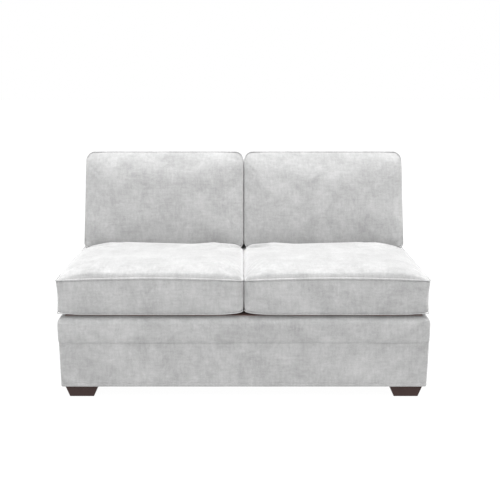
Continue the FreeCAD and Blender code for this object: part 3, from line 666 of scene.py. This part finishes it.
for side, sign in SIDES.items():
    low_x, high_x = sorted((sign * FRAME_X, sign * HALF_WIDTH))
    cheek = block(
        f"back_side_panel_{side}", (low_x, BAND_REAR_Y, SEAM_Z), (high_x, REAR_Y, BACK_TOP_Z)
    )
    edit(cheek)
    cut_off((0, inside_back(BASE_TOP_Z), BASE_TOP_Z), FRONT_SLOPE)
    cut_off((0, outside_back(SEAM_Z), SEAM_Z), REAR_SLOPE)
    choose("EDGE", lambda edge: along(edge, 0) and near(middle_of(edge).z, BACK_TOP_Z))
    bpy.ops.mesh.bevel(offset=TOP_RADIUS, segments=7, affect="EDGES")
    choose("EDGE", lambda edge: all(near(abs(end.co.x), HALF_WIDTH) for end in edge.verts))
    bpy.ops.mesh.bevel(offset=CHEEK_EASE, segments=3, affect="EDGES")
    slice_at(1, spread(BAND_REAR_Y, REAR_Y, CLOTH_STEP))
    slice_at(2, spread(SEAM_Z, BACK_TOP_Z, CLOTH_STEP))
    done()
    ease(cheek, 0.001, 9, 6 + sign)
    smooth_shade(cheek)
    finish_piece(cheek, cover_cloth, "cover_cloth", "base", f"back_side_{side}")

# Dust cloth under the base, cut round the legs

low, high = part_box("dust_cover")
LEG_EDGE_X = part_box("leg_front_right")[0].x
LEG_FRONT_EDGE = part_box("leg_front_right")[1].y
LEG_REAR_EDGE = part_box("leg_rear_right")[0].y
dust = block("dust_cloth", low, high)
edit(dust)
slice_at(0, [-LEG_EDGE_X, LEG_EDGE_X])
slice_at(1, [LEG_FRONT_EDGE, LEG_REAR_EDGE])


def at_leg(face):
    place = middle_of(face)
    return abs(place.x) > LEG_EDGE_X and not LEG_FRONT_EDGE < place.y < LEG_REAR_EDGE


choose("FACE", at_leg)
bpy.ops.mesh.delete(type="FACE")
done()
finish_piece(dust, dust_black, "dust_cloth", "base", "dust_cover")

# Cushions

# How far a cushion's sides may swell; two neighbours then stay just clear of each other
SIDE_ROOM = 0.0021
CUSHION_STEP = 0.035
BOXING_STEP = 0.02


def swell(share):
    """Height of a quarter ellipse at a share of the way in from its edge."""
    share = min(max(share, 0), 1)
    return math.sqrt(1 - (1 - share) ** 2)


CORNER_POWER = 3.5


def way_in(*shares):
    """Share of the way in from the nearest edges, eased where two edges meet."""
    left = sum(max(0.0, 1 - share) ** CORNER_POWER for share in shares) ** (1 / CORNER_POWER)
    return 1 - min(left, 1)


def edge_places(low, high):
    """Places across a panel that lie closer together near its edges."""
    close = [0.003, 0.008, 0.016, 0.028, 0.044]
    return (
        [low + gap for gap in close]
        + spread(low + close[-1], high - close[-1], CUSHION_STEP)
        + [high - gap for gap in close]
    )


SEAT_REAR_Y = 0.2295
SEAT_LOW_WELT_Z = 0.3694
SEAT_WELT_Z = 0.5058
SEAT_BOXING_Z = (SEAT_LOW_WELT_Z + SEAT_WELT_Z) / 2
SEAT_REST_Z = 0.3525
SEAT_CROWN_Z = 0.5508
CROWN_END_Y = 0.0885
SEAT_CORNER = 0.007
# How far the boxing draws in between its seams, and the shares of that in front and inside
WAIST = 0.005
FRONT_WAIST = 0.4
INNER_WAIST = 0.15
# Front seams: the upper one arches up, the lower one sags, and both fade out rearwards
FRONT_ARCH = 0.0095
FRONT_SAG = 0.003
FRONT_FADE = 0.12
CORNER_LIFT = 0.010
CORNER_FADE = 0.020
# Where two cushions meet, the upper seam dips and closes up behind the front corner
INNER_DROP = 0.010
INNER_FADE = 0.016
INNER_CLOSE = 0.0018
INNER_START = 0.035
# How far in from each edge the crown reaches its full height
INNER_REACH = 0.12
OUTER_REACH = 0.20
CROWN_FRONT = 0.15
CROWN_REAR = 0.03
BELLY_REACH = 0.1
# Room left for the swelling, and how much of what swells past the crown stays
SWELL_ROOM = 0.002
SWELL_SHARE = 0.3
ROLL = 0.015


def seat_shape(place):
    """Moves a point of the plain seat block to the cushion's own form, its inner side at +X."""
    x, y, z = place
    share = (z - SEAT_LOW_WELT_Z) / (SEAT_WELT_Z - SEAT_LOW_WELT_Z)
    drawn = WAIST * math.sin(math.pi * share)
    side_in, front_in = CUSHION_HALF - abs(x), y - FRONT_Y
    inner_in = CUSHION_HALF - x
    arch = FRONT_ARCH * (1 - (x / CUSHION_HALF) ** 2) * math.exp(-front_in / FRONT_FADE)
    lift = CORNER_LIFT * math.exp(-inner_in / CORNER_FADE)
    lift -= FRONT_SAG * (1 - abs(x / CUSHION_HALF) ** 8)
    behind = 1 - math.exp(-((front_in / INNER_START) ** 2))
    drop = INNER_DROP * math.exp(-inner_in / INNER_FADE) * behind
    new_z = z + arch * share**2 - drop * share**2
    new_z += lift * math.exp(-front_in / FRONT_FADE) * max(0, 1 - 2 * share) ** 2
    if near(share, 1, 1e-3) and y < CROWN_END_Y:
        reach = INNER_REACH if x > 0 else OUTER_REACH
        rise = swell(
            way_in(side_in / reach, front_in / CROWN_FRONT, (CROWN_END_Y - y) / CROWN_REAR)
        )
        new_z += rise * (SEAT_CROWN_Z - SWELL_ROOM - new_z)
    elif near(share, 0, 1e-3):
        sink = swell(
            way_in(
                side_in / BELLY_REACH, front_in / BELLY_REACH, (SEAT_REAR_Y - y) / BELLY_REACH
            )
        )
        new_z -= sink * (SEAT_LOW_WELT_Z - SEAT_REST_Z)
    front_pull = FRONT_WAIST * drawn * (SEAT_REAR_Y - y) / (SEAT_REAR_Y - FRONT_Y)
    side_pull = drawn * (INNER_WAIST if x > 0 else 1)
    if x > 0:
        side_pull -= INNER_CLOSE * max(share, 0) ** 3 * behind
    return Vector((x * (1 - side_pull / CUSHION_HALF), y + front_pull, new_z))


def seat_rests(place):
    """Where the seat cushion lies on the deck, carries the back cushion or holds its zip."""
    return (
        place.z < SEAT_REST_Z + 0.001
        or (place.y > CROWN_END_Y and place.z > SEAT_WELT_Z - 0.004)
        or place.y > SEAT_REAR_Y - 0.002
    )


def seat_limits(place):
    x, y, z = place
    widest = CUSHION_HALF + SIDE_ROOM
    if z > SEAT_CROWN_Z:
        z = SEAT_CROWN_Z + SWELL_SHARE * (z - SEAT_CROWN_Z)
    highest = SEAT_WELT_Z if y > CROWN_END_Y else 1
    return Vector(
        (
            min(max(x, -widest), widest),
            min(y, SEAT_REAR_Y),
            min(max(z, SEAT_REST_Z), highest),
        )
    )


def risen(gap, reach):
    """Share of a soft step at a distance from where it starts."""
    return 1 - math.exp(-((max(gap, 0) / reach) ** 2))


def rolled(place):
    """Stands the crown up steeply behind its front seam and beside its neighbour."""
    x, y, z = place
    front_in, inner_in, outer_in = y - FRONT_Y, CUSHION_HALF - x, CUSHION_HALF + x
    on_top = min(max((z - SEAT_WELT_Z + 0.020) / 0.015, 0), 1)
    step = risen(front_in, 0.007) * risen(inner_in, 0.008) * risen(outer_in, 0.03)
    step *= risen(CROWN_END_Y - y, 0.012)
    away = (1 - math.exp(-max(front_in, 0) / 0.08)) * (1 - math.exp(-max(inner_in, 0) / 0.06))
    return Vector((x, y, z + ROLL * on_top * step * (1 - away)))


BACK_DEEP = 0.1564
BACK_TALL = 0.4608
BACK_CROWN = 0.0364
BACK_CORNERS = {0: 0.026, BACK_TALL: 0.037}
# How far in from each edge the crown reaches its full height
BACK_SIDE = 0.15
BACK_LOW = 0.20
BACK_HIGH = 0.11
REAR_REACH = 0.014
TOP_DROP = 0.038
OUTER_SPREAD = 0.004
SPREAD_TO_Z = 0.24
TOP_ROLL = 0.030
TOP_ROLL_FADE = 0.05
TOP_SINK = 0.0045
BACK_SWELL_ROOM = 0.008


def back_shape(place):
    """Moves a point of the upright back block to the cushion's own form, its inner side at +X."""
    x, y, z = place
    share = y / BACK_DEEP
    drawn = WAIST * math.sin(math.pi * share)
    side_in = CUSHION_HALF - abs(x)
    new_y = y
    if near(share, 0, 1e-3):
        rise = swell(way_in(side_in / BACK_SIDE, z / BACK_LOW, (BACK_TALL - z) / BACK_HIGH))
        new_y -= rise * (BACK_CROWN - BACK_SWELL_ROOM)
    elif near(share, 1, 1e-3):
        rise = swell(
            way_in(side_in / REAR_REACH, z / REAR_REACH, (BACK_TALL - z) / REAR_REACH)
        )
        new_y += rise * (BACK_REACH - BACK_DEEP)
    lowered = 1 - (TOP_SINK + TOP_DROP * share**1.5) / BACK_TALL
    if x > 0:
        new_x = x * (1 + (SIDE_ROOM * math.sin(math.pi * share)) / CUSHION_HALF)
    else:
        new_x = x * (1 + (OUTER_SPREAD * max(0, 1 - z / SPREAD_TO_Z) - drawn) / CUSHION_HALF)
    return Vector((new_x, new_y, z * lowered))


def rolled_back(place):
    """Lays the top of the crown back, and its seam with it."""
    x, y, z = place
    share = min(max(1 - 3 * y / BACK_DEEP, 0), 1)
    return Vector((x, y + TOP_ROLL * share * math.exp(-(BACK_TALL - z) / TOP_ROLL_FADE), z))


def back_rests(place):
    """Where the back cushion stands on the seat or leans on the back."""
    on_neighbour = place.x > CUSHION_HALF - 0.001 and 0.02 < place.y < BACK_REACH - 0.03
    return place.z < 0.001 or place.y > BACK_REACH - 0.001 or on_neighbour


def back_limits(place):
    x, y, z = place
    widest = CUSHION_HALF + SIDE_ROOM
    return Vector((min(max(x, -widest), widest), min(y, BACK_REACH), max(z, 0)))


def lean(place):
    """Stands the upright back cushion on the seat, leaning on the back."""
    x, y, z = place
    return Vector((x, BACK_FOOT_Y + y + z * math.sin(RAKE), BACK_FOOT_Z + z * math.cos(RAKE)))


def reshape(piece, shape):
    for vertex in piece.data.vertices:
        vertex.co = shape(vertex.co)
    piece.data.update()


def mark_rims(axis, levels):
    """Marks as seams the edges where a panel square to an axis meets the sides."""

    def at_rim(edge):
        at_level = any(near(middle_of(edge)[axis], level) for level in levels)
        if len(edge.link_faces) != 2 or not at_level:
            return False
        first, second = (abs(face.normal[axis]) for face in edge.link_faces)
        return abs(first - second) > 0.5

    choose("EDGE", at_rim)
    bpy.ops.mesh.mark_seam(clear=False)


def sewn_cord(piece, name, wanted, radius, set_in):
    """Round cord in the cover's cloth, sewn along some of the seams, set in from the sides."""
    edit(piece)
    choose("EDGE", lambda edge: edge.seam and wanted(middle_of(edge)))
    bpy.ops.mesh.duplicate()
    bpy.ops.mesh.separate(type="SELECTED")
    done()
    cord = next(item for item in bpy.context.selected_objects if item is not piece)
    take(cord)
    bpy.ops.object.convert(target="CURVE")
    cord.data.bevel_depth = 1
    cord.data.bevel_resolution = 3
    for spline in cord.data.splines:
        for point in spline.points:
            point.radius = radius(point.co)
    bpy.ops.object.convert(target="MESH")
    cord = bpy.context.active_object
    cord.name = cord.data.name = name
    reshape(cord, lambda place: Vector((place.x * (1 - set_in / CUSHION_HALF), place.y, place.z)))
    outward(cord)
    smooth_shade(cord, 80)
    return cord


def seam_places(piece):
    """Points close together along a piece's seams."""
    mesh = piece.data
    places = []
    for edge in mesh.edges:
        if edge.use_seam:
            start, end = (mesh.vertices[index].co for index in edge.vertices)
            places += [start.lerp(end, part / 6) for part in range(7)]
    tree = kdtree.KDTree(len(places))
    for index, place in enumerate(places):
        tree.insert(place, index)
    tree.balance()
    return tree


VOXEL = 0.0075
SEAM_HOLD = 0.007
FRAMES = 20
PRESSURE = 4
SWELL_REACH = 0.024
PINCH_DEPTH = 0.0035
PINCH_WIDTH = 0.011


def pinch(piece, seams, share):
    """Draws the cloth in beside its seams, so that a crease runs along each cord."""
    mesh = piece.data
    normals = [vertex.normal.copy() for vertex in mesh.vertices]
    for vertex, normal in zip(mesh.vertices, normals):
        gap = seams.find(vertex.co)[2]
        if gap < PINCH_WIDTH:
            vertex.co -= normal * PINCH_DEPTH * share(vertex.co) * (1 - gap / PINCH_WIDTH)
    mesh.update()


def plump(piece, rests, limits, pinched):
    """Fills a cushion with air, held at its seams and where it rests."""
    seams = seam_places(piece)
    apply_modifier(piece, "REMESH", mode="VOXEL", voxel_size=VOXEL)
    before = [vertex.co.copy() for vertex in piece.data.vertices]
    held = piece.vertex_groups.new(name="held")
    for index, place in enumerate(before):
        if rests(place) or seams.find(place)[2] < SEAM_HOLD:
            held.add([index], 1, "REPLACE")
    take(piece)
    cloth = piece.modifiers.new("cloth", "CLOTH")
    cloth.settings.quality = 5
    cloth.settings.use_pressure = True
    cloth.settings.uniform_pressure_force = PRESSURE
    cloth.settings.effector_weights.gravity = 0
    cloth.settings.vertex_group_mass = "held"
    cloth.point_cache.frame_start = 1
    cloth.point_cache.frame_end = FRAMES
    for step in range(1, FRAMES + 1):
        bpy.context.scene.frame_set(step)
    bpy.ops.object.modifier_apply(modifier=cloth.name)
    bpy.context.scene.frame_set(1)
    piece.vertex_groups.clear()
    for vertex, start in zip(piece.data.vertices, before):
        move = vertex.co - start
        if move.length > SWELL_REACH:
            vertex.co = start + move * (SWELL_REACH / move.length)
        vertex.co = limits(vertex.co)
    piece.data.update()
    apply_modifier(piece, "SMOOTH", factor=0.5, iterations=2)
    subdivide(piece)
    pinch(piece, seams, pinched)
    smooth_shade(piece, 60)


def on_side(piece, name, sign, widened=0.0):
    """A copy with its own mesh, mirrored on the right and widened at its outer end."""
    take(piece)
    bpy.ops.object.duplicate()
    other = bpy.context.active_object
    other.name = other.data.name = name
    edit(other)
    bpy.ops.mesh.select_all(action="SELECT")
    wider = 1 + widened / (2 * CUSHION_HALF)
    bpy.ops.transform.resize(value=(wider, 1, 1), center_override=(CUSHION_HALF, 0, 0))
    if sign > 0:
        bpy.ops.transform.resize(value=(-1, 1, 1), center_override=(0, 0, 0))
        bpy.ops.mesh.flip_normals()
    bpy.ops.transform.translate(value=(sign * CUSHION_MIDDLE, 0, 0))
    done()
    return other


# Seat cushion: boxed, with a cord at both edges of the boxing

seat = block(
    "seat_cushion",
    (-CUSHION_HALF, FRONT_Y, SEAT_LOW_WELT_Z),
    (CUSHION_HALF, SEAT_REAR_Y, SEAT_WELT_Z),
)
edit(seat)
choose("EDGE", lambda edge: along(edge, 2))
bpy.ops.mesh.bevel(offset=SEAT_CORNER, segments=5, affect="EDGES")
slice_at(0, edge_places(-CUSHION_HALF, CUSHION_HALF))
slice_at(1, edge_places(FRONT_Y, CROWN_END_Y))
slice_at(1, [CROWN_END_Y, *spread(CROWN_END_Y, SEAT_REAR_Y, CUSHION_STEP)])
slice_at(2, spread(SEAT_LOW_WELT_Z, SEAT_WELT_Z, BOXING_STEP))
mark_rims(2, (SEAT_LOW_WELT_Z, SEAT_WELT_Z))
done()
reshape(seat, seat_shape)


TOP_CORD_THIN, TOP_CORD_THICKER = 0.0022, 0.0036
LOW_CORD = 0.0017
BACK_CORD = 0.0024
# How far the upper cord lies back and down in its crease, at its ends and more in its middle
SUNK_ENDS, SUNK_MIDDLE, SUNK_DOWN = 0.0009, 0.0028, 0.0011


def front_share_at(place):
    """One along the front seam, falling off towards the rear."""
    return math.exp(-max(0, place[1] - FRONT_Y - 0.012) / 0.03)


def middle_share_at(place):
    """One in the middle of the front, falling off to nothing at the corners."""
    return 1 - abs(place[0] / CUSHION_HALF) ** 3


def top_cord_radius(place):
    """The cord is thick along the front, and thin at the corners and down the sides."""
    return TOP_CORD_THIN + TOP_CORD_THICKER * middle_share_at(place) * front_share_at(place)


def sunk(place):
    """The cord lies back in its crease along the front, nearly flush with the boxing."""
    x, y, z = place
    middle, front = middle_share_at(place), front_share_at(place)
    new_y = y + (SUNK_ENDS + SUNK_MIDDLE * middle) * front
    return Vector((x, new_y, z - SUNK_DOWN * middle * front))


seat_top_cord = sewn_cord(
    seat, "seat_top_cord", lambda place: place.z > SEAT_BOXING_Z, top_cord_radius, 0.002
)
reshape(seat_top_cord, sunk)
seat_low_cord = sewn_cord(
    seat, "seat_low_cord", lambda place: place.z < SEAT_BOXING_Z, lambda place: LOW_CORD, 0.0015
)
plump(seat, seat_rests, seat_limits, lambda place: 0.25 * front_share_at(place))
reshape(seat, rolled)

# Back cushion: boxed, made upright, then leaned

back = block("back_cushion", (-CUSHION_HALF, 0, 0), (CUSHION_HALF, BACK_DEEP, BACK_TALL))
edit(back)
for level, corner in BACK_CORNERS.items():
    choose("EDGE", lambda edge: along(edge, 1) and near(middle_of(edge).z, level))
    bpy.ops.mesh.bevel(offset=corner, segments=7, affect="EDGES")
slice_at(0, edge_places(-CUSHION_HALF, CUSHION_HALF))
slice_at(2, edge_places(0, BACK_TALL))
slice_at(1, spread(0, BACK_DEEP, BOXING_STEP))
mark_rims(1, (0, BACK_DEEP))
done()
reshape(back, back_shape)
back_front_cord = sewn_cord(
    back, "back_front_cord", lambda place: place.y < BACK_DEEP / 2, lambda place: BACK_CORD, 0.0020
)
back_rear_cord = sewn_cord(
    back, "back_rear_cord", lambda place: place.y > BACK_DEEP / 2, lambda place: BACK_CORD, 0.0020
)
plump(back, back_rests, back_limits, lambda place: 0.12)
for piece in (back, back_front_cord, back_rear_cord):
    reshape(piece, rolled_back)
    reshape(piece, lean)

# Zip channel in the foot of the back cushion, behind the seat cushion

zip_low, zip_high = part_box("back_zip_left")
ZIP_Y = (zip_low.y + zip_high.y) / 2
ZIP_CEILING_Z = zip_high.z
CHANNEL_HALF_X, CHANNEL_HALF_Y = 0.292, 0.0165
for vertex in back.data.vertices:
    x, y, z = vertex.co
    in_channel = abs(x) < CHANNEL_HALF_X and abs(y - ZIP_Y) < CHANNEL_HALF_Y
    if in_channel and z < ZIP_CEILING_Z:
        vertex.co.z = ZIP_CEILING_Z

# Zips: cloth tape, a row of teeth, and a slider with its pull tab


TOOTH_PITCH = 0.0028


def zip_tape(name, length, width, thickness):
    """Zip along X in the XY plane, its teeth on top, centred on the origin."""
    tape = block(name, (-length / 2, -width / 2, 0), (length / 2, width / 2, thickness / 2))
    edit(tape)
    slice_at(1, [-0.0034, -0.0026, 0.0026, 0.0034])
    done()
    tooth = block(
        "tooth",
        (-length / 2, -0.0026, thickness * 0.4),
        (-length / 2 + 0.0016, 0.0012, thickness),
    )
    edit(tooth)
    choose("EDGE", lambda edge: along(edge, 1) and middle_of(edge).z > thickness * 0.9)
    bpy.ops.mesh.bevel(offset=0.0003, segments=1, affect="EDGES")
    bpy.ops.mesh.select_all(action="SELECT")
    bpy.ops.mesh.duplicate_move(TRANSFORM_OT_translate={"value": (0.0014, 0.0014, 0)})
    done()
    apply_modifier(
        tooth,
        "ARRAY",
        count=int((length - 0.004) / TOOTH_PITCH),
        use_relative_offset=False,
        use_constant_offset=True,
        constant_offset_displace=(TOOTH_PITCH, 0, 0),
    )
    clear_selection()
    tooth.select_set(True)
    tape.select_set(True)
    bpy.context.view_layer.objects.active = tape
    bpy.ops.object.join()
    return tape


def zip_slider(name, length, width, thickness, tab):
    """Slider body with a bridge and a pull tab that reaches beyond it along Y or X."""
    body = block(name, (-length / 2, -width / 2, 0), (length / 2, width / 2, thickness * 0.62))
    edit(body)
    choose("EDGE", lambda edge: along(edge, 2))
    bpy.ops.mesh.bevel(offset=width * 0.28, segments=3, affect="EDGES")
    choose("EDGE", lambda edge: near(middle_of(edge).z, thickness * 0.62))
    bpy.ops.mesh.bevel(offset=0.0006, segments=2, affect="EDGES")
    done()
    bridge = block(
        "bridge",
        (-length * 0.3, -0.0012, thickness * 0.55),
        (length * 0.3, 0.0012, thickness),
    )
    edit(bridge)
    bpy.ops.mesh.select_all(action="SELECT")
    bpy.ops.mesh.bevel(offset=0.0004, segments=2, affect="EDGES")
    done()
    reach_x, reach_y = tab
    pull = block(
        "pull",
        (min(0, reach_x) - 0.003, min(0, reach_y) - 0.003, thickness * 0.66),
        (max(0, reach_x) + 0.003, max(0, reach_y) + 0.003, thickness * 0.92),
    )
    edit(pull)
    choose("EDGE", lambda edge: along(edge, 2))
    bpy.ops.mesh.bevel(offset=0.0022, segments=3, affect="EDGES")
    done()
    clear_selection()
    for item in (body, bridge, pull):
        item.select_set(True)
    bpy.context.view_layer.objects.active = body
    bpy.ops.object.join()
    return body


# How each kind of zip is turned about X, and how far its pull tab reaches
ZIP_TURN = {"seat": math.radians(-90), "back": math.radians(180)}
ZIP_TAB = {"seat": (0, 0.020), "back": (0.011, 0)}


def zip_place(kind, low, high):
    """Length, width and thickness of a zip's part, and where its underside is sewn on."""
    middle = (low + high) / 2
    wide, deep, tall = high.x - low.x, high.y - low.y, high.z - low.z
    if kind == "seat":
        return (wide, tall, deep), (middle.x, low.y, middle.z)
    return (wide, deep, tall), (middle.x, middle.y, high.z)


def turned(piece, angle, place):
    """Turns a piece about X and puts its mesh in its place."""
    piece.data.transform(Matrix.Translation(place) @ Matrix.Rotation(angle, 4, "X"))
    piece.data.update()
    smooth_shade(piece, 40)


def zip_parts(kind, side):
    """The tape of a zip on its cushion, and the slider that runs along it."""
    sizes, place = zip_place(kind, *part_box(f"{kind}_zip_{side}"))
    tape = zip_tape(f"{kind}_zip_tape_{side}", *sizes)
    turned(tape, ZIP_TURN[kind], place)
    finish_piece(tape, zip_cloth, "zip_tape", f"{kind}_cushion_{side}", f"{kind}_zip_{side}")
    sizes, place = zip_place(kind, *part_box(f"{kind}_zip_slider_{side}"))
    slider = zip_slider(f"{kind}_zip_pull_{side}", *sizes, ZIP_TAB[kind])
    turned(slider, ZIP_TURN[kind], place)
    finish_piece(slider, zinc, "zip_metal", f"{kind}_slider_{side}", f"{kind}_zip_slider_{side}")


# Both cushions of each kind, with their cords and zips

SEAT_WIDENED = {"left": 0.0065, "right": 0.0}
for side, sign in SIDES.items():
    seat_body, back_body = f"seat_cushion_{side}", f"back_cushion_{side}"
    piece = on_side(seat, f"seat_cushion_{side}", sign, SEAT_WIDENED[side])
    seat_nodes = (f"seat_cover_{side}", f"seat_wrap_{side}", f"seat_foam_{side}")
    finish_piece(piece, cover_cloth, "cover_cloth", seat_body, *seat_nodes)
    piece = on_side(back, f"back_cushion_{side}", sign)
    back_nodes = (f"back_cover_{side}", f"back_fill_{side}")
    finish_piece(piece, cover_cloth, "cover_cloth", back_body, *back_nodes)
    for cord, name, body in (
        (seat_top_cord, "seat_top_cord", seat_body),
        (seat_low_cord, "seat_low_cord", seat_body),
        (back_front_cord, "back_front_cord", back_body),
        (back_rear_cord, "back_rear_cord", back_body),
    ):
        widened = SEAT_WIDENED[side] if cord in (seat_top_cord, seat_low_cord) else 0
        cord_piece = on_side(cord, f"{name}_{side}", sign, widened)
        finish_piece(cord_piece, cover_cloth, "cover_cloth", body)
    zip_parts("seat", side)
    zip_parts("back", side)
for piece in (seat, back, seat_top_cord, seat_low_cord, back_front_cord, back_rear_cord):
    bpy.data.objects.remove(piece)

bpy.context.view_layer.update()
